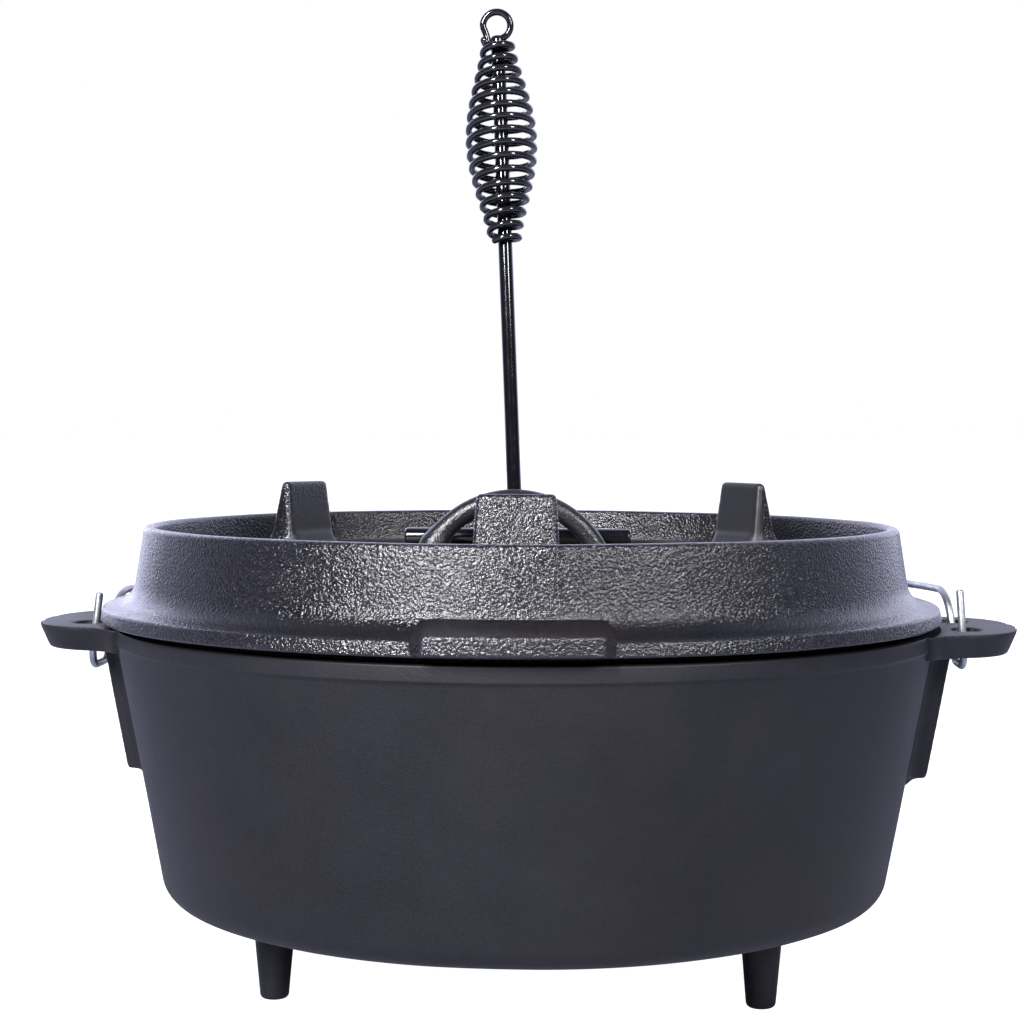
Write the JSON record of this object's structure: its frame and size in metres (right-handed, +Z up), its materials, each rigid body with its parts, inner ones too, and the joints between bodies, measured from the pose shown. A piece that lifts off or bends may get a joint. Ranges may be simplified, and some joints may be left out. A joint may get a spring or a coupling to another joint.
{
  "type": "cast iron dutch oven",
  "caption": "Footed cast iron camp oven with a flanged lid that has legs and a loop, a wire bail between two ears, and a hooked lid lifter with a coil grip.",
  "frame": {"origin": "floor level, under the pot's axis", "axes": "+Z up, +X towards the right ear, +Y to the back, away from the lid's front tab"},
  "size_m": [0.373, 0.3278, 0.3714],
  "materials": {
    "cast_iron": "seasoned, matte, fine cast grain",
    "zinc_wire": "dull zinc plate",
    "black_enamel": "gloss black enamel"
  },
  "bodies": {
    "pot": {"pot_body": "cast_iron", "ear_left": "cast_iron", "ear_right": "cast_iron", "foot_front_left": "cast_iron", "foot_front_right": "cast_iron", "foot_rear": "cast_iron"},
    "lid": {"lid_body": "cast_iron", "lid_loop_handle": "cast_iron", "lid_leg_front": "cast_iron", "lid_leg_rear_left": "cast_iron", "lid_leg_rear_right": "cast_iron"},
    "bail": {"bail_handle": "zinc_wire"},
    "lifter": {"lifter_rod": "black_enamel", "lifter_cross_bar": "black_enamel", "lifter_coil_grip": "black_enamel", "lifter_hanging_eye": "black_enamel"}
  },
  "joints": [
    {"name": "lid_lift", "type": "slide", "parent": "pot", "child": "lid", "axis": [0, 0, 1], "range_m": [0, 0.18]},
    {"name": "bail_swing", "type": "hinge", "parent": "pot", "child": "bail", "pos_m": [0, 0, 0.1319], "axis": [1, 0, 0], "range_deg": [0, 75]},
    {"name": "lifter_unhook", "type": "slide", "parent": "lid", "child": "lifter", "axis": [0, 1, 0], "range_m": [0, 0.06]}
  ]
}
